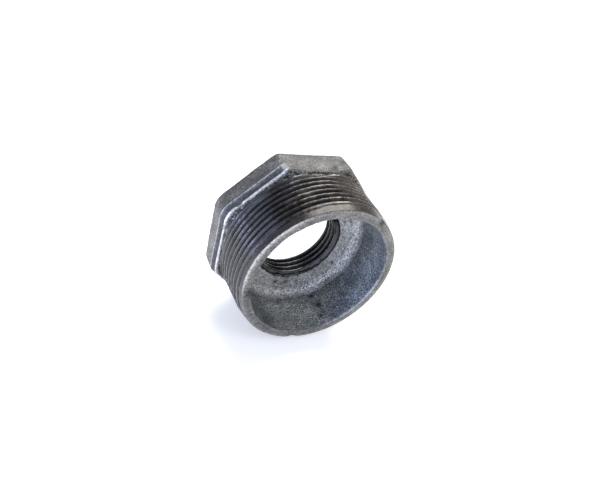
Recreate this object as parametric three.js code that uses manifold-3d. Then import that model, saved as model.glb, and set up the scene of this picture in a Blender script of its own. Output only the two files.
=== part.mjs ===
// Galvanised malleable-iron reducing bush, 2 x 1: an octagonal head, an external taper thread, an internal
// parallel thread through the head, and a wide cored recess in the threaded end.
// Millimetres. The bore axis is Y: the head is at +Y, the open threaded end is at -Y, and one head flat faces
// down. The origin is on the bore axis, halfway along the fitting.

import * as THREE from 'three';
import { mergeVertices } from 'three/addons/utils/BufferGeometryUtils.js';
import Module from 'manifold-3d';

// Overall form
const LENGTH = 30.8;
const HEAD_ACROSS_FLATS = 61.5;
const HEAD_HEIGHT = 7.2;
const HEAD_CORNER_RADIUS = 4;
const HEAD_EDGE_BEVEL = 0.7;
const HEAD_FLATS = 8;

// Cast skirt that narrows from the head's flats towards the shank
const SKIRT_LENGTH = 2.8;
const SKIRT_END_ACROSS_FLATS = 59.2;

// Recess cored into the threaded end
const RIM_INNER_RADIUS = 25.1;
const RECESS_DEPTH = 19.9;
const RECESS_BOTTOM_RADIUS = 24.7;
const RECESS_FILLET = 4;

// Pipe threads: 11 per inch, 55 degree flanks, equal flats at crest and root
const PITCH = 25.4 / 11;
const THREAD_DEPTH = 1.479;
const THREAD_FLAT = 0.385;
const THREAD_OVERLAP = 0.2;
const FLANK_SLOPE = Math.tan(THREE.MathUtils.degToRad(27.5));

// External taper thread, size 2: diameter at the gauge plane, and the plane's distance from the rim
const MALE_GAUGE_DIAMETER = 59.614;
const MALE_GAUGE_LENGTH = 15.9;
const TAPER_ON_RADIUS = 1 / 32;
const RIM_OUTER_RADIUS = 28.3;
const LEAD_IN_LENGTH = 2.6;
const LEAD_IN_SLOPE = 0.42;

// Internal parallel thread, size 1
const FEMALE_MAJOR_RADIUS = 33.249 / 2;
const FEMALE_MINOR_RADIUS = FEMALE_MAJOR_RADIUS - THREAD_DEPTH;
const COUNTERSINK_RADIUS = 17.4;
const COUNTERSINK_DEPTH = 1.8;
const WEB_CHAMFER = 1;

// Facets
const ROUND_SEGMENTS = 32;
const ARC_STEPS = 4;
const CORNER_STEPS = 3;
const MALE_STEPS_PER_TURN = 32;
const FEMALE_STEPS_PER_TURN = 32;
const HEAD_BEVEL_SEGMENTS = 2;
const CUT_MARGIN = 1;
const MERGE_TOLERANCE = 1e-4;

// Stations along the bore axis
const rimY = -LENGTH / 2;
const headFaceY = LENGTH / 2;
const shoulderY = headFaceY - HEAD_HEIGHT;
const skirtEndY = shoulderY - SKIRT_LENGTH;
const webY = rimY + RECESS_DEPTH;

const wasm = await Module();
wasm.setup();

function toSolid(geometry) {
  const bare = geometry.clone();
  bare.deleteAttribute('normal');
  bare.deleteAttribute('uv');
  const merged = mergeVertices(bare, MERGE_TOLERANCE);
  const mesh = new wasm.Mesh({
    numProp: 3,
    vertProperties: new Float32Array(merged.attributes.position.array),
    triVerts: new Uint32Array(merged.index.array),
  });
  return new wasm.Manifold(mesh);
}

function toGeometry(solid) {
  const mesh = solid.getMesh();
  const geometry = new THREE.BufferGeometry();
  geometry.setAttribute('position', new THREE.BufferAttribute(new Float32Array(mesh.vertProperties), 3));
  geometry.setIndex(new THREE.BufferAttribute(new Uint32Array(mesh.triVerts), 1));
  geometry.computeVertexNormals();
  return geometry;
}

// Solid of revolution about Y, from [radius, y] pairs that run up the outside
function revolve(profile) {
  const points = profile.map(([radius, y]) => new THREE.Vector2(radius, y));
  return toSolid(new THREE.LatheGeometry(points, ROUND_SEGMENTS));
}

// Quarter-round run of [radius, y] pairs about a centre, between two angles in the radius-y plane
function arc(centreRadius, centreY, radius, startAngle, endAngle) {
  return Array.from({ length: ARC_STEPS + 1 }, (_, step) => {
    const angle = startAngle + ((endAngle - startAngle) * step) / ARC_STEPS;
    return [centreRadius + radius * Math.cos(angle), centreY + radius * Math.sin(angle)];
  });
}

// Right-hand helical bar about Y. section(y) gives its corners as [radius, offset along Y] pairs
function helix(startY, endY, stepsPerTurn, section) {
  const steps = Math.ceil(((endY - startY) / PITCH) * stepsPerTurn);
  const corners = section(startY).length;
  const positions = [];
  const index = [];
  for (let step = 0; step <= steps; step += 1) {
    const angle = (step / stepsPerTurn) * 2 * Math.PI;
    const y = startY + (step / stepsPerTurn) * PITCH;
    for (const [radius, offset] of section(y)) {
      positions.push(radius * Math.sin(angle), y + offset, radius * Math.cos(angle));
    }
  }
  for (let step = 0; step < steps; step += 1) {
    for (let corner = 0; corner < corners; corner += 1) {
      const next = (corner + 1) % corners;
      const here = step * corners;
      const ahead = here + corners;
      index.push(here + corner, ahead + corner, here + next);
      index.push(ahead + next, here + next, ahead + corner);
    }
  }
  const last = steps * corners;
  for (let corner = 1; corner < corners - 1; corner += 1) {
    index.push(0, corner, corner + 1);
    index.push(last, last + corner + 1, last + corner);
  }
  const geometry = new THREE.BufferGeometry();
  geometry.setAttribute('position', new THREE.Float32BufferAttribute(positions, 3));
  geometry.setIndex(index);
  return toSolid(geometry);
}

function maleCrestRadius(y) {
  const fromRim = y - rimY;
  return MALE_GAUGE_DIAMETER / 2 + (fromRim - MALE_GAUGE_LENGTH) * TAPER_ON_RADIUS;
}

// Flats are joined by round corners; this is how far the corners' centres stand from the axis
function cornerCentreDistance() {
  return (HEAD_ACROSS_FLATS / 2 - HEAD_CORNER_RADIUS) / Math.cos(Math.PI / HEAD_FLATS);
}

function octagonHead() {
  const outline = new THREE.Shape();
  for (let flat = 0; flat < HEAD_FLATS; flat += 1) {
    const start = (flat * 2 * Math.PI) / HEAD_FLATS;
    const end = ((flat + 1) * 2 * Math.PI) / HEAD_FLATS;
    const x = cornerCentreDistance() * Math.cos((start + end) / 2);
    const y = cornerCentreDistance() * Math.sin((start + end) / 2);
    outline.absarc(x, y, HEAD_CORNER_RADIUS, start, end, false);
  }
  const geometry = new THREE.ExtrudeGeometry(outline, {
    depth: HEAD_HEIGHT - HEAD_EDGE_BEVEL,
    curveSegments: CORNER_STEPS,
    bevelSize: HEAD_EDGE_BEVEL,
    bevelThickness: HEAD_EDGE_BEVEL,
    bevelOffset: -HEAD_EDGE_BEVEL,
    bevelSegments: HEAD_BEVEL_SEGMENTS,
  });
  geometry.translate(0, 0, shoulderY);
  geometry.rotateX(-Math.PI / 2);
  return toSolid(geometry);
}

function skirt() {
  const flatsToCorners = 1 / (2 * Math.cos(Math.PI / HEAD_FLATS));
  const geometry = new THREE.CylinderGeometry(
    HEAD_ACROSS_FLATS * flatsToCorners,
    SKIRT_END_ACROSS_FLATS * flatsToCorners,
    SKIRT_LENGTH,
    HEAD_FLATS,
    1,
    false,
    Math.PI / HEAD_FLATS,
  );
  geometry.translate(0, (shoulderY + skirtEndY) / 2, 0);
  const cornerLimit = revolve([
    [0, skirtEndY - CUT_MARGIN],
    [cornerCentreDistance() + HEAD_CORNER_RADIUS, skirtEndY - CUT_MARGIN],
    [cornerCentreDistance() + HEAD_CORNER_RADIUS, shoulderY + CUT_MARGIN],
    [0, shoulderY + CUT_MARGIN],
  ]);
  return toSolid(geometry).intersect(cornerLimit);
}

// Shank at the thread's root
function shank() {
  return revolve([
    [0, rimY],
    [maleCrestRadius(rimY) - THREAD_DEPTH, rimY],
    [maleCrestRadius(skirtEndY) - THREAD_DEPTH, skirtEndY],
    [maleCrestRadius(skirtEndY) - THREAD_DEPTH, shoulderY],
    [0, shoulderY],
  ]);
}

function maleThread() {
  const base = THREAD_FLAT / 2 + (THREAD_DEPTH + THREAD_OVERLAP) * FLANK_SLOPE;
  return helix(rimY - PITCH / 2, skirtEndY + PITCH, MALE_STEPS_PER_TURN, (y) => {
    const crest = maleCrestRadius(y);
    const root = crest - THREAD_DEPTH - THREAD_OVERLAP;
    return [[root, -base], [crest, -THREAD_FLAT / 2], [crest, THREAD_FLAT / 2], [root, base]];
  });
}

// Outer limit of the fitting: trims the first turns to the turned lead-in
function leadInEnvelope() {
  const leadInRadius = RIM_OUTER_RADIUS + LEAD_IN_LENGTH * LEAD_IN_SLOPE;
  return revolve([
    [0, rimY],
    [RIM_OUTER_RADIUS, rimY],
    [leadInRadius, rimY + LEAD_IN_LENGTH],
    [HEAD_ACROSS_FLATS, rimY + LEAD_IN_LENGTH],
    [HEAD_ACROSS_FLATS, headFaceY],
    [0, headFaceY],
  ]);
}

function recess() {
  const filletRadius = RECESS_BOTTOM_RADIUS - RECESS_FILLET;
  return revolve([
    [0, rimY - CUT_MARGIN],
    [RIM_INNER_RADIUS, rimY - CUT_MARGIN],
    [RIM_INNER_RADIUS, rimY],
    ...arc(filletRadius, webY - RECESS_FILLET, RECESS_FILLET, 0, Math.PI / 2),
    [0, webY],
  ]);
}

function bore() {
  return revolve([
    [0, webY - CUT_MARGIN],
    [FEMALE_MINOR_RADIUS + WEB_CHAMFER, webY - CUT_MARGIN],
    [FEMALE_MINOR_RADIUS + WEB_CHAMFER, webY],
    [FEMALE_MINOR_RADIUS, webY + WEB_CHAMFER],
    [FEMALE_MINOR_RADIUS, headFaceY - COUNTERSINK_DEPTH],
    [COUNTERSINK_RADIUS, headFaceY],
    [COUNTERSINK_RADIUS, headFaceY + CUT_MARGIN],
    [0, headFaceY + CUT_MARGIN],
  ]);
}

function femaleThread() {
  const mouth = THREAD_FLAT / 2 + (THREAD_DEPTH + THREAD_OVERLAP) * FLANK_SLOPE;
  const inner = FEMALE_MINOR_RADIUS - THREAD_OVERLAP;
  const outer = FEMALE_MAJOR_RADIUS;
  return helix(webY - PITCH, headFaceY + PITCH, FEMALE_STEPS_PER_TURN, () => [
    [inner, -mouth],
    [outer, -THREAD_FLAT / 2],
    [outer, THREAD_FLAT / 2],
    [inner, mouth],
  ]);
}

function bushCasting() {
  const outside = shank().add(maleThread()).intersect(leadInEnvelope()).add(skirt()).add(octagonHead());
  const casting = outside.subtract(recess()).subtract(bore()).subtract(femaleThread());
  const material = new THREE.MeshStandardMaterial({ color: 0x8b8c8d, roughness: 0.55, metalness: 0.85 });
  const mesh = new THREE.Mesh(toGeometry(casting), material);
  mesh.name = 'bush_casting';
  return mesh;
}

const reducingBush = new THREE.Group();
reducingBush.add(bushCasting());

export default reducingBush;
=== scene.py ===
import math

import bpy
import numpy as np
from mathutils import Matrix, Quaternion, Vector


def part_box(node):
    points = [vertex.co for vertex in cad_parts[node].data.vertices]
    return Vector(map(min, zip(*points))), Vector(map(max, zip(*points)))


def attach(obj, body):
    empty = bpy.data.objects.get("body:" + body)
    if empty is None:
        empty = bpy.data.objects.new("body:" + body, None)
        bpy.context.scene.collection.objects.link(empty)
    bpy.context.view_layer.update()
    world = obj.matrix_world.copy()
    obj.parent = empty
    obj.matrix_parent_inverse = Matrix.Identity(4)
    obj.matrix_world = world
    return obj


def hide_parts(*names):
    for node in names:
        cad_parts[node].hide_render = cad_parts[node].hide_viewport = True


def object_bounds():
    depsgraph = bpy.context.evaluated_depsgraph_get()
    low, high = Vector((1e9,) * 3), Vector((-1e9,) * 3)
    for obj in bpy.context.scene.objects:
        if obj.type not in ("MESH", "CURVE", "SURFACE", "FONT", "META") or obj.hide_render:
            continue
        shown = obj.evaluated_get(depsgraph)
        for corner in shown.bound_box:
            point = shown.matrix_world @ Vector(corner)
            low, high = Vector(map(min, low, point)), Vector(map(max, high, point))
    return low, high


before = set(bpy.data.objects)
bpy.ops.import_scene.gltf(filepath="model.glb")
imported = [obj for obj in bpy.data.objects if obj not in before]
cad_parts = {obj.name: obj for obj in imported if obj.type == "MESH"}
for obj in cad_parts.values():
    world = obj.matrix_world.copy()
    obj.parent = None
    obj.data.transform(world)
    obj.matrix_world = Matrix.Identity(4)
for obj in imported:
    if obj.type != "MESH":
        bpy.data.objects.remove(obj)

cad_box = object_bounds()

# The bush is built in millimetres about its bore axis, Y, and written to the mesh in metres.
# Angles round the axis run from +Z towards +X. A wave in a surface is a row of amount, wavelength and seed.
MM = 0.001
INCH = 25.4
TAU = 2 * math.pi
low_corner, high_corner = (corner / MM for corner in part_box("bush_casting"))
RIM_Y, HEAD_Y = low_corner.y, high_corner.y
APOTHEM = high_corner.z

# Head: eight flats, each corner worn or cast to its own radius, in order from the corner between +Z and +X
FLATS = 8
CORNER_ANGLE = TAU / FLATS / 2
CORNER_RADII = (2.4, 3.6, 2.8, 4.4, 3.0, 3.8, 7.5, 2.2)
HEAD_HEIGHT = 7.2
# Rounded edge of the end face: its radius, and how strongly it is rubbed and painted with a highlight
EDGE_ROUND, EDGE_RUB_AND_HIGHLIGHT = 0.8, 0.25
SHOULDER_Y = HEAD_Y - HEAD_HEIGHT

# Skirt: narrows from the head to the shank. Between two angles, in degrees, its cove and bead are crisp.
SKIRT_LENGTH, SKIRT_DROP, SKIRT_COVE = 3.2, 1.25, 0.45
SOFT_DROP_SHARE = 0.6
CRISP_FROM, CRISP_TO = 215, 339
CRISP_FADE_IN, CRISP_FADE_OUT = 12, 4
# Painted highlight where the crisp span fades in and out
CRISP_END_HIGHLIGHT = 3.6
BEAD_HEIGHT, BEAD_SHARE, BEAD_LIP = 0.5, 0.2, 0.2
# How far the painted highlight along the crisp bead reaches, and how it fades
BEAD_HIGHLIGHT_SHARE, BEAD_HIGHLIGHT_FADE = 0.38, 0.1
# Painted shadow at the foot of the bead, and painted shade in the crisp cove
BEAD_SHADE, COVE_SHADE = 0.2, 0.5
# Painted highlight along the shoulder, where the crisp skirt meets the flats: its strength and how fast it
# falls away
SHOULDER_HIGHLIGHT, SHOULDER_HIGHLIGHT_POWER = 0.7, 40
SKIRT_END_Y = SHOULDER_Y - SKIRT_LENGTH

# Cast skin at the thread's end. The blank caps the last turns, then rises clear of the thread.
SKIN_LENGTH, SKIN_DEPTH, SKIN_FADE_SHARE = 1.1, 0.35, 0.6
BLANK_FLARE, BLANK_FLARE_START = 0.6, 1.5

# Recess and web: the fillet between them is crusted with core sand, most of all near the middle of its turn,
# and the zinc paints glints on the crust
RECESS_DEPTH = 19.9
RECESS_BOTTOM, RECESS_FILLET = 24.7, 3.4
WEB_Y = RIM_Y + RECESS_DEPTH
WEB_CRUST, WEB_EDGE_CRUST = 0.35, 0.4
CRUST_PLACE, CRUST_SPREAD = 0.75, 0.5

# Rim: rub along an edge is an even amount, an extra amount that is a painted highlight, and the angle of
# that highlight in degrees.
# The painted highlight grows from none to full between two cosines of the angle from there.
RIM_INNER, RIM_OUTER = 25.1, 28.4
RIM_ROUND, RIM_BREAK = 0.5, 0.35
RIM_UNEVEN = ((0.1, 13, 41),)
RIM_RUB_AND_HIGHLIGHT_INSIDE = (0.08, 0.2, 125)
RIM_RUB_AND_HIGHLIGHT_OUTSIDE = (0.2, 0.65, 300)
HIGHLIGHT_NONE, HIGHLIGHT_FULL = 0.75, 0.95

# Pipe threads
THREADS_PER_INCH = 11
PITCH = INCH / THREADS_PER_INCH
THREAD_DEPTH = 1.479
FLANK_ANGLE = math.radians(27.5)
FLANK_RUN = THREAD_DEPTH * math.tan(FLANK_ANGLE)
FLANK_CURVE = 0.75
CREST_HALF = 0.19

# External thread
GAUGE_RADIUS, GAUGE_LENGTH, TAPER = 59.614 / 2, 15.9, 1 / 32
ROOT_FILL = 0.2
TORN_CRESTS = ((0.04, 1.6, 11), (0.02, 0.8, 12))
LEAD_IN_SLOPE, LEAD_IN_SMOOTH, LEAD_IN_SWING, LEAD_IN_FADE = 0.24, 1.7, 0.95, 1.1
LEAD_IN_LONGEST = math.radians(60)
LEAD_IN_RAGGED = ((0.16, 2.6, 13),)
RUNOUT_DEPTH, RUNOUT_TURNS = 0.3, 1.3

# Internal thread
FEMALE_MAJOR = 33.249 / 2
FEMALE_MINOR = FEMALE_MAJOR - THREAD_DEPTH
COUNTERSINK, COUNTERSINK_DEPTH = 17.4, 1.8
WEB_CHAMFER = 1.2
TORN_BORE = ((0.03, 1.4, 21),)
CHAMFER_RAGGED = ((0.18, 1.7, 22),)

# Sand-cast skin. Lumps and pits are what stands past a limit in one wave.
CAST_WAVES = ((0.045, 14, 31), (0.035, 5, 32), (0.03, 2.4, 33))
LUMP_HEIGHT, LUMP_SPACING, LUMP_SEED, LUMP_LIMIT = 0.08, 3.0, 34, 1.3
PIT_DEPTH, PIT_SPACING, PIT_SEED, PIT_LIMIT = 0.10, 3.2, 35, 1.5
GRAIN_HEIGHT, GRAIN_SIZE, GRAIN_SEED, GRAIN_WAVES = 0.12, 1.7, 36, 60
CLUMP_HEIGHT, CLUMP_SIZE, CLUMP_SEED = 0.04, 2.6, 37
CAST_STRENGTH = {
    "rim": 0.5, "male": 0.0, "skirt": 0.7, "head": 0.6, "face": 0.7, "female": 0.0, "web": 1.0,
    "recess": 1.0,
}

# Handling marks and blowholes: angle round the axis in degrees, radius, Y, size and depth
NICKS = (
    (34, 28.2, -15.4, 1.3, 0.55),
    (187, 28.3, -15.4, 1.5, 0.6),
    (262, 25.2, -15.2, 1.6, 0.7),
    (302, 30.4, 5.6, 0.9, 0.9),
    (12, 30.3, 7.0, 1.4, 0.3),
    (95, 30.6, 13.5, 1.5, 0.35),
    (224, 31.5, 14.8, 1.4, 0.4),
    (157, 24.9, -0.5, 1.0, 0.6),
    (155, 24.9, -5.8, 1.3, 0.6),
    (158, 24.9, -11.0, 0.9, 0.4),
    (196, 19.3, 4.5, 0.9, 0.4),
    (181, 19.0, 4.5, 0.8, 0.4),
    (121, 20.8, 4.5, 0.8, 0.3),
)

# Ripples: how far wavelengths spread about the one asked for
RIPPLE_SPREAD = (0.65, 1.35)

# Mesh density: angles round the axis, and rows along each part of the cross-section
ANGLE_STEPS = 224
CORNER_CROWDING = 0.35
ROWS = {
    "rim_edge": 5, "rim": 8, "male": 172, "bead": 7, "skirt": 13, "head": 16, "head_edge": 6, "face": 26,
    "female": 84, "web": 13, "fillet": 20, "recess": 36,
}

# Where parts of the cross-section meet, rows keep apart by a gap in mm or a share of the part's width.
WIDE_GAP, NARROW_GAP = 0.3, 0.25
BEAD_FIRST = 0.15
FACE_FIRST, FACE_LAST = 0.04, 0.985
WALL_FIRST, WALL_LAST = 0.02, 0.99
SHORTEST_NORMAL = 1e-9


def smooth(value):
    value = np.clip(value, 0, 1)
    return value * value * (3 - 2 * value)


def ripples(points, wavelength, seed, count=26):
    """Smooth, seeded noise with unit spread: plane waves of about one wavelength, in random directions."""
    rng = np.random.default_rng(seed)
    directions = rng.normal(size=(count, 3))
    directions /= np.linalg.norm(directions, axis=1, keepdims=True)
    waves = directions * (TAU / wavelength * rng.uniform(*RIPPLE_SPREAD, (count, 1)))
    phases = rng.uniform(0, TAU, count)
    return np.cos(points @ waves.T + phases).sum(axis=-1) * math.sqrt(2 / count)


def roughen(points, rows):
    """Sum of ripples, from rows of amount, wavelength and seed."""
    return sum(amount * ripples(points, wavelength, seed) for amount, wavelength, seed in rows)


def angles():
    """Angles round the bore axis, crowded at the head's corners."""
    even = np.linspace(0, TAU, ANGLE_STEPS, endpoint=False)
    return even + CORNER_CROWDING * np.sin(FLATS * even) / FLATS


def octagon(theta, apothem):
    """Radius of the head's outline at each angle, with a round corner between each two flats."""
    corner = np.floor(theta / (2 * CORNER_ANGLE)).astype(int) % FLATS
    from_corner = np.abs(theta % (2 * CORNER_ANGLE) - CORNER_ANGLE)
    radius = np.array(CORNER_RADII)[corner]
    centre = (apothem - radius) / math.cos(CORNER_ANGLE)
    tangent = np.arctan((apothem - radius) * math.tan(CORNER_ANGLE) / apothem)
    arc = centre * np.cos(from_corner)
    arc += np.sqrt(np.maximum(radius**2 - (centre * np.sin(from_corner)) ** 2, 0))
    flat = apothem / np.cos(CORNER_ANGLE - from_corner)
    return np.where(from_corner < CORNER_ANGLE - tangent, arc, flat)


def helix_height(theta, y):
    """Thread profile from 0 at the root to 1 at the crest, for a right-hand helix."""
    turn = ((y - RIM_Y) / PITCH - theta / TAU) % 1
    from_crest = np.abs(turn - 0.5) * PITCH
    height = np.clip((CREST_HALF + FLANK_RUN - from_crest) / FLANK_RUN, 0, 1)
    return (1 - FLANK_CURVE) * height + FLANK_CURVE * smooth(height)


def crispness(theta):
    """1 where the mould left the skirt's cove and bead crisp, 0 where the zinc has filled them."""
    degrees = np.degrees(theta) % 360
    return smooth((degrees - CRISP_FROM) / CRISP_FADE_IN) * smooth((CRISP_TO - degrees) / CRISP_FADE_OUT)


def edge_rub_and_highlight(theta, even, extra, degrees):
    """Rub along an edge, even all round, with an extra painted highlight within about 40 degrees of one
    angle.
    """
    closeness = np.cos(theta - math.radians(degrees))
    return even + extra * smooth((closeness - HIGHLIGHT_NONE) / (HIGHLIGHT_FULL - HIGHLIGHT_NONE))


def helix_points(theta, radius, y):
    """Points at an angle, a radius and a Y about the bore axis."""
    x, y, z = np.broadcast_arrays(radius * np.sin(theta), y, radius * np.cos(theta))
    return np.stack([x, y, z], axis=-1)


class Profile:
    """Rings of points round the bore axis, gathered in order along the casting's cross-section.

    relief is 0 in a thread's root or a hollow, which the materials darken with painted shade, and 1 on a
    crest, which the threads brighten with a painted highlight, or on plain metal; lead is 1 on the turned
    lead-in; the rub mark is 1 on rubbed edges and where a highlight is painted along an edge; and crust is 1
    where the casting's skin is coarse, where the zinc also paints glints.
    """

    MARKS = ("relief", "lead", "rub", "crust")

    def __init__(self, theta):
        self.theta = theta[:, None]
        self.rows = {field: [] for field in ("radius", "y", *self.MARKS)}
        self.region = []

    def add(self, radius, y, region, relief=1.0, lead=0.0, rub=0.0, crust=0.0):
        shape = np.broadcast(self.theta, radius, y).shape
        for field, values in zip(self.rows, (radius, y, relief, lead, rub, crust)):
            self.rows[field].append(np.broadcast_to(values, shape))
        self.region += [region] * shape[1]

    def grid(self, field):
        return np.concatenate(self.rows[field], axis=1)


def steps(start, end, count):
    return np.linspace(start, end, count)[None, :]


def quarter(count, skip=0):
    """Angles of a quarter turn, without the first few."""
    return np.linspace(0, math.pi / 2, count)[None, skip:]


def male_surface(theta, y):
    """Radius, relief and lead-in of the cut shank. The last turns run out into the as-cast blank."""
    from_rim = y - RIM_Y
    from_skirt = SKIRT_END_Y - y
    crest = GAUGE_RADIUS + (from_rim - GAUGE_LENGTH) * TAPER
    place = helix_points(theta, GAUGE_RADIUS, y)
    lead_in = LEAD_IN_SMOOTH + LEAD_IN_SWING * np.cos(theta - LEAD_IN_LONGEST)
    start = smooth((from_rim - lead_in - roughen(place, LEAD_IN_RAGGED)) / LEAD_IN_FADE)
    runout = RUNOUT_DEPTH + (1 - RUNOUT_DEPTH) * smooth(from_skirt / (RUNOUT_TURNS * PITCH))
    relief = 1 - start * runout * (1 - helix_height(theta, y))
    radius = crest - (1 - ROOT_FILL) * THREAD_DEPTH * (1 - relief) + roughen(place, TORN_CRESTS) * relief
    envelope = RIM_OUTER + LEAD_IN_SLOPE * from_rim
    flare = BLANK_FLARE * np.maximum(from_skirt - BLANK_FLARE_START, 0)
    blank = octagon(theta, APOTHEM - SKIRT_DROP) - SKIN_DEPTH + flare
    return np.minimum(np.minimum(radius, envelope), blank), relief, 1 - start


def female_surface(theta, y):
    """Radius and relief of the bore: countersunk at the head, roughly chamfered where it meets the web."""
    depth = 1 - helix_height(theta, y)
    place = helix_points(theta, FEMALE_MINOR, y)
    radius = FEMALE_MAJOR - THREAD_DEPTH * depth - roughen(place, TORN_BORE) * depth
    countersink = COUNTERSINK - (HEAD_Y - y) * (COUNTERSINK - FEMALE_MINOR) / COUNTERSINK_DEPTH
    chamfer = FEMALE_MINOR + WEB_CHAMFER + roughen(place, CHAMFER_RAGGED) - (y - WEB_Y)
    return np.maximum(radius, np.maximum(countersink, chamfer)), depth


def add_rim(profile, rim_inner):
    """The rim, from the recess outwards."""
    around = profile.theta
    turn = quarter(ROWS["rim_edge"])
    edge_radius = rim_inner + RIM_ROUND * (1 - np.cos(turn))
    edge_y = RIM_Y + RIM_ROUND * (1 - np.sin(turn))
    # The rounded inner edge: an even rub, and a painted highlight towards one side
    profile.add(edge_radius, edge_y, "rim", rub=edge_rub_and_highlight(around, *RIM_RUB_AND_HIGHLIGHT_INSIDE))
    across = steps(0, 1, ROWS["rim"])
    start = rim_inner + RIM_ROUND + WIDE_GAP
    radius = start + (RIM_OUTER - RIM_BREAK - start) * across
    # The face: rub and a painted highlight growing towards its outer edge, most on one side
    profile.add(radius, RIM_Y, "rim", rub=edge_rub_and_highlight(around, *RIM_RUB_AND_HIGHLIGHT_OUTSIDE) * across**3)


def add_shank(profile):
    """Lead-in and external thread. Gives the radius of the last ring."""
    y = steps(RIM_Y + RIM_BREAK / 2, SKIRT_END_Y, ROWS["male"])
    radius, relief, lead = male_surface(profile.theta, y)
    skin = smooth((y - (SKIRT_END_Y - SKIN_LENGTH)) / (SKIN_FADE_SHARE * SKIN_LENGTH))
    profile.add(radius, y, "male", relief, lead, crust=skin)
    return radius[:, -1:]


def add_skirt(profile, shank_radius):
    """Bead at the skirt's end, then a shallow cove up to the edge of the head's flats."""
    around = profile.theta
    crisp = crispness(around)
    drop = SKIRT_DROP * (SOFT_DROP_SHARE + (1 - SOFT_DROP_SHARE) * crisp)
    skirt_end = octagon(around, APOTHEM - drop) + BEAD_LIP * crisp
    out = steps(BEAD_FIRST, 1, ROWS["bead"])
    radius = shank_radius + (skirt_end - shank_radius) * np.sin(out * math.pi / 2)
    y = SKIRT_END_Y + BEAD_HEIGHT * (1 - np.cos(out * math.pi / 2))
    # The bead: painted shadow at its foot, and a painted highlight along its crisp part
    relief = BEAD_SHADE + (1 - BEAD_SHADE) * out
    profile.add(radius, y, "skirt", relief=relief, rub=out**3 * crisp, crust=1 - out)
    out = steps(BEAD_SHARE, 1, ROWS["skirt"])
    cove = crisp * np.sin((out - BEAD_SHARE) / (1 - BEAD_SHARE) * math.pi)
    radius = skirt_end + (octagon(around, APOTHEM) - skirt_end) * out - SKIRT_COVE * cove
    # Painted highlights along the bead, along the shoulder and where the crisp span fades; painted shade in
    # the cove
    bead_highlight = smooth((BEAD_HIGHLIGHT_SHARE - out) / BEAD_HIGHLIGHT_FADE)
    edges = np.maximum(SHOULDER_HIGHLIGHT * out**SHOULDER_HIGHLIGHT_POWER, bead_highlight)
    rub = np.maximum(crisp * edges, CRISP_END_HIGHLIGHT * crisp * (1 - crisp))
    y = SKIRT_END_Y + SKIRT_LENGTH * out
    profile.add(radius, y, "skirt", relief=1 - COVE_SHADE * cove, rub=rub)


def add_head(profile):
    """Flats, the rounded edge of the end face, then the face in to the countersink."""
    outline = octagon(profile.theta, APOTHEM)
    edge_start = HEAD_Y - EDGE_ROUND
    profile.add(outline, steps(SHOULDER_Y + NARROW_GAP, edge_start, ROWS["head"]), "head")
    turn = quarter(ROWS["head_edge"], 1)
    radius = outline - EDGE_ROUND * (1 - np.cos(turn))
    # The rounded edge: rubbed, with a painted highlight
    profile.add(radius, edge_start + EDGE_ROUND * np.sin(turn), "head", rub=EDGE_RUB_AND_HIGHLIGHT)
    face_edge = outline - EDGE_ROUND
    inwards = steps(FACE_FIRST, FACE_LAST, ROWS["face"])
    profile.add(face_edge + (COUNTERSINK - face_edge) * inwards, HEAD_Y, "face")


def add_bore(profile):
    """Internal thread, from the countersink down to the web. Gives the radius of the last ring."""
    y = steps(HEAD_Y, WEB_Y, ROWS["female"])
    radius, relief = female_surface(profile.theta, y)
    profile.add(radius, y, "female", relief)
    return radius[:, -1:]


def add_recess(profile, bore_radius, rim_inner):
    """Web, fillet and recess wall, back to the rim."""
    fillet_start = RECESS_BOTTOM - RECESS_FILLET
    across = steps(0, 1, ROWS["web"])
    start = bore_radius + NARROW_GAP
    radius = start + (fillet_start - WIDE_GAP - start) * across
    profile.add(radius, WEB_Y, "web", crust=WEB_CRUST + WEB_EDGE_CRUST * across**2)
    turn = quarter(ROWS["fillet"])
    radius = fillet_start + RECESS_FILLET * np.sin(turn)
    y = WEB_Y - RECESS_FILLET * (1 - np.cos(turn))
    profile.add(radius, y, "web", crust=np.exp(-(((turn - CRUST_PLACE) / CRUST_SPREAD) ** 2)))
    down = steps(WALL_FIRST, WALL_LAST, ROWS["recess"])
    wall_top, wall_end = WEB_Y - RECESS_FILLET, RIM_Y + RIM_ROUND
    radius = RECESS_BOTTOM + (rim_inner - RECESS_BOTTOM) * down
    profile.add(radius, wall_top + (wall_end - wall_top) * down, "recess")


def cross_section():
    """The whole closed profile: rim, outside, head, bore and recess."""
    profile = Profile(angles())
    rim_inner = RIM_INNER + roughen(helix_points(profile.theta, RIM_INNER, 0.0), RIM_UNEVEN)
    add_rim(profile, rim_inner)
    shank_radius = add_shank(profile)
    add_skirt(profile, shank_radius)
    add_head(profile)
    bore_radius = add_bore(profile)
    add_recess(profile, bore_radius, rim_inner)
    return profile


def cast_roughness(points, outward, region, crust):
    """Moves the as-cast surfaces in and out: slow waves, lumps and pits, and coarse grains on the crust."""
    strength = np.array([CAST_STRENGTH[name] for name in region])[None, :]
    relief = roughen(points, CAST_WAVES)
    relief += LUMP_HEIGHT * np.maximum(ripples(points, LUMP_SPACING, LUMP_SEED) - LUMP_LIMIT, 0)
    relief -= PIT_DEPTH * np.maximum(ripples(points, PIT_SPACING, PIT_SEED) - PIT_LIMIT, 0)
    grains = GRAIN_HEIGHT * ripples(points, GRAIN_SIZE, GRAIN_SEED, GRAIN_WAVES)
    grains += CLUMP_HEIGHT * np.abs(ripples(points, CLUMP_SIZE, CLUMP_SEED))
    return points + outward * (relief * strength + grains * crust)[..., None]


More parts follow.
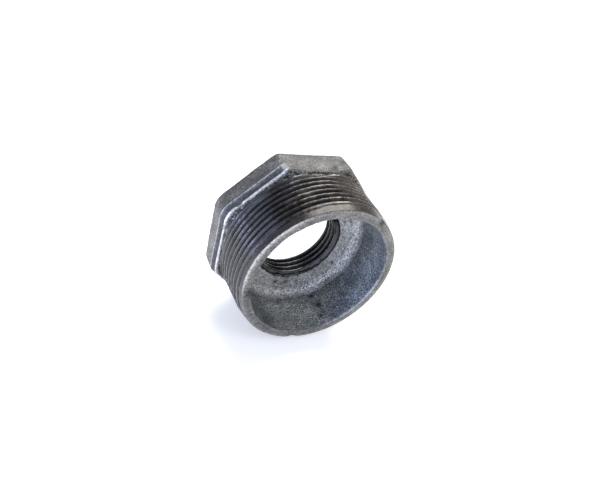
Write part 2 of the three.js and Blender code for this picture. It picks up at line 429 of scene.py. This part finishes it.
def knock(points, outward):
    """Pushes the metal in at each handling mark or blowhole. Also gives the painted shade in it, from 0 to
    1.
    """
    painted_pit_shade = np.zeros(points.shape[:2])
    for angle, radius, y, size, depth in NICKS:
        centre = helix_points(math.radians(angle), radius, y)
        bowl = np.exp(-((np.linalg.norm(points - centre, axis=-1) / size) ** 2))
        points = points - outward * depth * bowl[..., None]
        painted_pit_shade = np.maximum(painted_pit_shade, bowl)
    return points, painted_pit_shade


def surface_normals(points):
    along_theta = np.roll(points, -1, axis=0) - np.roll(points, 1, axis=0)
    along_profile = np.roll(points, -1, axis=1) - np.roll(points, 1, axis=1)
    normal = np.cross(along_theta, along_profile)
    return normal / np.maximum(np.linalg.norm(normal, axis=-1, keepdims=True), SHORTEST_NORMAL)


MATERIAL_OF = {"rim": 0, "male": 1, "skirt": 0, "head": 0, "face": 0, "female": 2, "web": 3, "recess": 4}


def build_bush():
    """One closed mesh, a grid that wraps both round the axis and along the cross-section."""
    profile = cross_section()
    radius = profile.grid("radius")
    points = helix_points(profile.theta, radius, profile.grid("y"))
    outward = surface_normals(points)
    points = cast_roughness(points, outward, profile.region, profile.grid("crust"))
    points, painted_pit_shade = knock(points, outward)
    rings, rows = radius.shape

    ring = np.arange(rings)[:, None]
    row = np.arange(rows)[None, :]
    next_ring, next_row = (ring + 1) % rings, (row + 1) % rows
    here, there = ring * rows, next_ring * rows
    corners = [here + row, there + row, there + next_row, here + next_row]
    quads = np.stack(corners, axis=-1).reshape(-1, 4)

    mesh = bpy.data.meshes.new("bush")
    mesh.from_pydata((points.reshape(-1, 3) * MM).tolist(), [], quads.tolist())
    materials = np.array([MATERIAL_OF[name] for name in profile.region])
    mesh.polygons.foreach_set("material_index", np.tile(materials, rings))
    mesh.polygons.foreach_set("use_smooth", np.ones(len(quads), dtype=bool))
    marks = {name: profile.grid(name) for name in Profile.MARKS}
    # Nicks and blowholes lower relief: painted shade in each hollow
    marks["relief"] = marks["relief"] * (1 - painted_pit_shade)
    for name, values in marks.items():
        layer = mesh.attributes.new(name, "FLOAT", "POINT")
        layer.data.foreach_set("value", values.reshape(-1).astype(np.float32))
    mesh.update()
    bush = bpy.data.objects.new("bush", mesh)
    bpy.context.collection.objects.link(bush)
    return bush


# ---------------------------------------------------------------- materials

class Nodes:
    """Short calls for a material's node tree. A colour is a tuple of three, per_mm a texture's scale."""

    def __init__(self, name):
        self.material = bpy.data.materials.new(name)
        self.material.use_nodes = True
        self.tree = self.material.node_tree
        self.tree.nodes.clear()
        self.shader = self.node("ShaderNodeBsdfPrincipled")
        output = self.node("ShaderNodeOutputMaterial")
        self.link(self.shader.outputs["BSDF"], output.inputs["Surface"])
        self.position = self.node("ShaderNodeTexCoord").outputs["Object"]

    def node(self, kind, **settings):
        made = self.tree.nodes.new(kind)
        for key, value in settings.items():
            setattr(made, key, value)
        return made

    def link(self, source, target):
        self.tree.links.new(source, target)

    def feed(self, target, value):
        if isinstance(value, bpy.types.NodeSocket):
            self.link(value, target)
        elif isinstance(value, tuple):
            target.default_value = (*value, 1)
        else:
            target.default_value = value

    def noise(self, per_mm, detail=4.0, roughness=0.55, stretch=None):
        made = self.node("ShaderNodeTexNoise")
        made.inputs["Scale"].default_value = per_mm / MM
        made.inputs["Detail"].default_value = detail
        made.inputs["Roughness"].default_value = roughness
        self.link(self.stretched(stretch), made.inputs["Vector"])
        return made.outputs["Fac"]

    def stretched(self, stretch):
        if stretch is None:
            return self.position
        mapping = self.node("ShaderNodeMapping")
        mapping.inputs["Scale"].default_value = stretch
        self.link(self.position, mapping.inputs["Vector"])
        return mapping.outputs["Vector"]

    def cells(self, per_mm):
        """Distance to the middle of the nearest cell, and a random number from 0 to 1 for each cell."""
        made = self.node("ShaderNodeTexVoronoi")
        made.inputs["Scale"].default_value = per_mm / MM
        self.link(self.position, made.inputs["Vector"])
        separated = self.node("ShaderNodeSeparateColor")
        self.link(made.outputs["Color"], separated.inputs["Color"])
        return made.outputs["Distance"], separated.outputs["Red"]

    def ramp(self, fac, *stops):
        """stops are (place, colour or grey)."""
        made = self.node("ShaderNodeValToRGB")
        points = made.color_ramp.elements
        while len(points) < len(stops):
            points.new(0.5)
        for point, (place, colour) in zip(points, stops):
            point.position = place
            colour = colour if isinstance(colour, tuple) else (colour,) * 3
            point.color = (*colour, 1)
        self.link(fac, made.inputs["Fac"])
        return made.outputs["Color"]

    def mix(self, fac, a, b, blend="MIX"):
        made = self.node("ShaderNodeMix", data_type="RGBA", blend_type=blend)
        self.feed(made.inputs[0], fac)
        self.feed(made.inputs[6], a)
        self.feed(made.inputs[7], b)
        return made.outputs[2]

    def math(self, operation, a, b):
        made = self.node("ShaderNodeMath", operation=operation)
        self.feed(made.inputs[0], a)
        self.feed(made.inputs[1], b)
        return made.outputs[0]

    def attribute(self, name):
        return self.node("ShaderNodeAttribute", attribute_name=name).outputs["Fac"]

    def along(self, axis, per_mm):
        """A value that grows along one axis of the object, 0 at its middle."""
        separated = self.node("ShaderNodeSeparateXYZ")
        self.link(self.position, separated.inputs["Vector"])
        return self.math("MULTIPLY", separated.outputs[axis], per_mm / MM)

    def bump(self, height, distance_mm, strength, under=None):
        made = self.node("ShaderNodeBump")
        made.inputs["Strength"].default_value = strength
        made.inputs["Distance"].default_value = distance_mm * MM
        self.link(height, made.inputs["Height"])
        if under is not None:
            self.link(under, made.inputs["Normal"])
        return made.outputs["Normal"]

    def finish(self, colour, metallic, roughness, normal):
        self.feed(self.shader.inputs["Base Color"], colour)
        self.shader.inputs["Metallic"].default_value = metallic
        self.feed(self.shader.inputs["Roughness"], roughness)
        self.link(normal, self.shader.inputs["Normal"])
        return self.material


# Zinc
ZINC_METALLIC = 0.5
GRAIN_SHARE, CLOUD_SHARE = 0.6, 0.4
STREAKS = 0.3
CRUST_GLINT_BOOST = 0.25
PINHOLE_SHARE, PINHOLE_SHADE, PINHOLE_DEPTH = 0.4, 0.9, 0.5
PINHOLE_BLACK = (0.012, 0.012, 0.012)
DULLEST = 0.22
RUB_POLISH = 0.15

# Cut threads
THREAD_METALLIC = 0.8
# Per millimetre towards +X, the thread's colour moves from a blue painted reflection towards warm painted
# light
PAINTED_LIGHT_DRIFT = 0.010
SCRATCH_STRENGTH = 0.4


def zinc_material(name, dark, middle, light, rub_and_highlight_colour, shine, grit, sparkle, pepper, drift=0.0):
    """Hot-dip zinc over a sand-cast skin: grain, streaks, dark pinholes, painted glints, painted shade in
    hollows and rubbed edges with painted highlights.

    shine is the roughness of the shiniest grains, grit the bump's strength, sparkle the share of cells that
    get a painted glint, pepper the strength of the fine grain, and drift how much lighter the skin grows for
    each millimetre towards +X.
    """
    n = Nodes(name)
    cloud = n.noise(per_mm=0.16, detail=5, roughness=0.6)
    grain = n.noise(per_mm=1.3, detail=7, roughness=0.8)
    fine = n.noise(per_mm=2.0, detail=3, roughness=0.7)
    crust = n.attribute("crust")

    # Skin, from dark to light, with fine grain and short streaks over it
    tone = n.math("ADD", n.math("MULTIPLY", grain, GRAIN_SHARE), n.math("MULTIPLY", cloud, CLOUD_SHARE))
    tone = n.math("ADD", tone, n.along("X", drift))
    colour = n.ramp(tone, (0.43, dark), (0.5, middle), (0.57, light))
    colour = n.mix(pepper, colour, n.ramp(fine, (0.4, 0.08), (0.6, 0.88)), "OVERLAY")
    streaks = n.noise(per_mm=0.9, detail=5, roughness=0.7, stretch=(0.35, 1.8, 1.0))
    colour = n.mix(STREAKS, colour, n.ramp(streaks, (0.4, 0.15), (0.58, 0.65)), "OVERLAY")

    # Painted glints: small bright spots, more of them on the crust, then the crust's own painted glints
    distance, choice = n.cells(per_mm=1.9)
    picked = n.math("ADD", choice, n.math("MULTIPLY", crust, CRUST_GLINT_BOOST))
    spot = n.ramp(distance, (0.27, 0.9), (0.4, 0.0))
    painted_glint = n.math("MULTIPLY", n.math("GREATER_THAN", picked, 1 - sparkle), spot)
    glints = n.ramp(n.noise(per_mm=1.5, detail=3), (0.49, 0.0), (0.58, 0.95))
    crust_glints = n.math("MULTIPLY", crust, glints)
    colour = n.mix(n.math("MAXIMUM", painted_glint, crust_glints), colour, rub_and_highlight_colour)

    # Painted shade in hollows: the skirt's cove, the foot of its bead, nicks and blowholes; then near-black
    # pinholes
    colour = n.mix(1.0, colour, n.ramp(n.attribute("relief"), (0.0, 0.01), (1.0, 1.0)), "MULTIPLY")
    distance, choice = n.cells(per_mm=0.75)
    chosen = n.math("GREATER_THAN", choice, 1 - PINHOLE_SHARE)
    hole = n.math("MULTIPLY", n.ramp(distance, (0.1, 1.0), (0.25, 0.0)), chosen)
    colour = n.mix(n.math("MULTIPLY", hole, PINHOLE_SHADE), colour, PINHOLE_BLACK)

    # Rubbed edges, and painted highlights along edges
    rubbed_highlight = n.math("MULTIPLY", n.attribute("rub"), n.ramp(grain, (0.42, 0.15), (0.52, 1.0)))
    colour = n.mix(rubbed_highlight, colour, rub_and_highlight_colour)
    shiny = n.ramp(fine, (0.36, shine + DULLEST), (0.64, shine))
    roughness = n.math("SUBTRACT", shiny, n.math("MULTIPLY", rubbed_highlight, RUB_POLISH))

    height = n.math("SUBTRACT", grain, n.math("MULTIPLY", hole, PINHOLE_DEPTH))
    normal = n.bump(height, distance_mm=0.3, strength=grit)
    normal = n.bump(fine, distance_mm=0.12, strength=grit, under=normal)
    return n.finish(colour, ZINC_METALLIC, roughness, normal)


def thread_material(name, blue_reflection, dark, warm_light, lead_colour, rubbed_highlight, skin):
    """Bare machined thread: painted shade in the roots, patchy painted highlights on the crests, and grains
    of the cast skin at its end.

    Its colour varies at random and runs across X as painted light: from a blue painted reflection on the -X
    side, through near black, to warm painted light on the +X side.
    """
    n = Nodes(name)
    relief = n.attribute("relief")
    # Random tone, plus painted light across X: blue painted reflection, then near black, then warm painted
    # light
    painted_light_tone = n.math("ADD", n.noise(per_mm=0.1, detail=6, roughness=0.65), n.along("X", PAINTED_LIGHT_DRIFT))
    colour = n.ramp(painted_light_tone, (0.26, blue_reflection), (0.42, dark), (0.64, warm_light))
    # Painted shade in the thread roots
    depth = n.ramp(relief, (0.0, 0.5), (0.5, 0.85), (1.0, 1.0))
    colour = n.mix(1.0, colour, depth, "MULTIPLY")
    # Patchy painted highlight on the crests
    crest = n.ramp(relief, (0.95, 0.0), (1.0, 1.0))
    patches = n.ramp(n.noise(per_mm=0.6, detail=5, roughness=0.65), (0.45, 0.0), (0.7, 0.55))
    colour = n.mix(n.math("MULTIPLY", crest, patches), colour, rubbed_highlight)
    turned = n.ramp(n.noise(per_mm=0.7, detail=6, roughness=0.7), (0.3, 0.35), (0.6, 1.0))
    colour = n.mix(n.attribute("lead"), colour, n.mix(turned, colour, lead_colour))
    grains = n.ramp(n.noise(per_mm=1.9, detail=3), (0.53, 0.0), (0.6, 1.0))
    colour = n.mix(n.math("MULTIPLY", n.attribute("crust"), grains), colour, skin)
    roughness = n.ramp(n.noise(per_mm=0.8, detail=5), (0.35, 0.18), (0.7, 0.32))
    scratches = n.noise(per_mm=0.9, detail=3, stretch=(0.2, 3.0, 0.2))
    normal = n.bump(scratches, distance_mm=0.03, strength=SCRATCH_STRENGTH)
    grain = n.noise(per_mm=1.6, detail=3)
    normal = n.bump(grain, distance_mm=0.02, strength=SCRATCH_STRENGTH, under=normal)
    return n.finish(colour, THREAD_METALLIC, roughness, normal)


# ---------------------------------------------------------------- stage, light and camera

FLOOR_GAP = 0.0002
FLOOR_SIZE, FLOOR_GLOW = 30.0, 0.42
FLOOR_DARKEST, FLOOR_LIGHTEST, FLOOR_ROUGHNESS = 0.88, 0.9, 0.9
WORLD_STRENGTH, HORIZON_STRENGTH = 0.43, 1.0
HORIZON_BAND, HORIZON_FADE = 0.05, 0.15
LIGHT_DISTANCE = 0.6
CAMERA_AZIMUTH, CAMERA_ELEVATION, CAMERA_ROLL = -33.85, 35.1, 18.0
CAMERA_DISTANCE = 0.1803
CAMERA_LENS, CAMERA_SENSOR = 30.0, 36.0
CAMERA_AIM = (-0.00117, 0.00069, -0.0001)
CAMERA_NEAREST = 0.01


def from_direction(azimuth, elevation):
    a, e = math.radians(azimuth), math.radians(elevation)
    return Vector((math.sin(a) * math.cos(e), -math.cos(a) * math.cos(e), math.sin(e)))


def add_floor():
    bpy.ops.mesh.primitive_plane_add(size=FLOOR_SIZE, location=(0, 0, cad_box[0].z - FLOOR_GAP))
    floor = bpy.context.object
    floor.name = "floor"
    n = Nodes("floor_paper")
    shade = n.noise(per_mm=0.002, detail=2)
    colour = n.ramp(shade, (0.3, FLOOR_DARKEST), (0.7, FLOOR_LIGHTEST))
    paper = n.bump(n.noise(per_mm=0.4), distance_mm=0.02, strength=0.1)
    n.finish(colour, 0.0, FLOOR_ROUGHNESS, paper)
    n.shader.inputs["Emission Color"].default_value = (1.0, 1.0, 1.0, 1)
    n.shader.inputs["Emission Strength"].default_value = FLOOR_GLOW
    floor.data.materials.append(n.material)


def place_light(name, data, azimuth, elevation, distance):
    """Puts a light in a direction from the bush, facing it."""
    light = bpy.data.objects.new(name, data)
    bpy.context.collection.objects.link(light)
    direction = from_direction(azimuth, elevation)
    light.location = direction * distance
    light.rotation_euler = (-direction).to_track_quat("-Z", "Y").to_euler()


def add_light(name, azimuth, elevation, distance, size, power, colour):
    """A round soft box that faces the bush."""
    data = bpy.data.lights.new(name, "AREA")
    data.shape = "DISK"
    data.size = size
    data.energy = power
    data.color = colour
    place_light(name, data, azimuth, elevation, distance)


def add_sky(azimuth, elevation, strength, spread, colour):
    """Broad daylight from one side. spread is in degrees."""
    data = bpy.data.lights.new("sky", "SUN")
    data.energy = strength
    data.angle = math.radians(spread)
    data.color = colour
    place_light("sky", data, azimuth, elevation, LIGHT_DISTANCE)


def add_world():
    """A white room, brighter in a band along the horizon so that the floor's far end shows less."""
    world = bpy.data.worlds.new("studio")
    world.use_nodes = True
    nodes, links = world.node_tree.nodes, world.node_tree.links
    place = nodes.new("ShaderNodeTexCoord").outputs["Generated"]
    height = nodes.new("ShaderNodeSeparateXYZ")
    glow = nodes.new("ShaderNodeValToRGB")
    band, room = glow.color_ramp.elements
    band.position, band.color = HORIZON_BAND, (HORIZON_STRENGTH,) * 3 + (1,)
    room.position, room.color = HORIZON_FADE, (WORLD_STRENGTH,) * 3 + (1,)
    links.new(place, height.inputs["Vector"])
    links.new(height.outputs["Z"], glow.inputs["Fac"])
    links.new(glow.outputs["Color"], nodes["Background"].inputs["Color"])
    bpy.context.scene.world = world


def add_camera():
    data = bpy.data.cameras.new("camera")
    data.lens = CAMERA_LENS
    data.sensor_width = CAMERA_SENSOR
    data.clip_start = CAMERA_NEAREST
    camera = bpy.data.objects.new("camera", data)
    bpy.context.collection.objects.link(camera)
    direction = from_direction(CAMERA_AZIMUTH, CAMERA_ELEVATION)
    camera.location = Vector(CAMERA_AIM) + direction * CAMERA_DISTANCE
    track = (-direction).to_track_quat("-Z", "Y")
    camera.rotation_mode = "QUATERNION"
    camera.rotation_quaternion = track @ Quaternion((0, 0, 1), math.radians(CAMERA_ROLL))
    bpy.context.scene.camera = camera


bush = build_bush()
# In the order of MATERIAL_OF's numbers
for material in (
    zinc_material(
        "zinc_cast", dark=(0.07, 0.068, 0.067), middle=(0.116, 0.1135, 0.11), light=(0.182, 0.178, 0.174),
        rub_and_highlight_colour=(0.76, 0.75, 0.73), shine=0.34, grit=0.5, sparkle=0.006, pepper=0.45, drift=0.0008,
    ),
    thread_material(
        "thread_cut", blue_reflection=(0.075, 0.074, 0.08), dark=(0.034, 0.031, 0.031), warm_light=(0.2, 0.178, 0.163),
        lead_colour=(0.06, 0.055, 0.052), rubbed_highlight=(0.2, 0.19, 0.18), skin=(0.3, 0.295, 0.28),
    ),
    thread_material(
        "bore_thread_cut", blue_reflection=(0.05, 0.052, 0.058), dark=(0.028, 0.028, 0.03), warm_light=(0.07, 0.072, 0.08),
        lead_colour=(0.1, 0.1, 0.1), rubbed_highlight=(0.13, 0.13, 0.135), skin=(0.1, 0.1, 0.1),
    ),
    # The web's and recess wall's zinc: copies painted lighter than the outside zinc, the web lighter than
    # the wall, as painted light and shade
    zinc_material(
        "zinc_web", dark=(0.23, 0.232, 0.236), middle=(0.37, 0.374, 0.382), light=(0.54, 0.545, 0.556),
        rub_and_highlight_colour=(0.85, 0.86, 0.9), shine=0.24, grit=1.0, sparkle=0.04, pepper=0.85,
    ),
    zinc_material(
        "zinc_recess", dark=(0.1, 0.112, 0.12), middle=(0.165, 0.179, 0.19), light=(0.25, 0.266, 0.278),
        rub_and_highlight_colour=(0.8, 0.82, 0.86), shine=0.26, grit=0.8, sparkle=0.06, pepper=0.95,
    ),
):
    bush.data.materials.append(material)
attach(bush, "root")
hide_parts("bush_casting")

add_floor()
add_world()
add_sky(azimuth=150, elevation=58, strength=3.2, spread=50, colour=(1.0, 0.985, 0.96))
add_light(
    "side_window", azimuth=-76, elevation=5, distance=LIGHT_DISTANCE, size=0.16, power=2.9,
    colour=(0.44, 0.58, 1.0),
)
add_light(
    "front_window", azimuth=-47, elevation=24, distance=LIGHT_DISTANCE, size=0.25, power=0.85,
    colour=(0.45, 0.64, 1.0),
)
add_light("fill", azimuth=20, elevation=50, distance=0.8, size=0.4, power=1.15, colour=(1.0, 0.97, 0.93))
add_camera()
bpy.context.scene.view_settings.view_transform = "Standard"
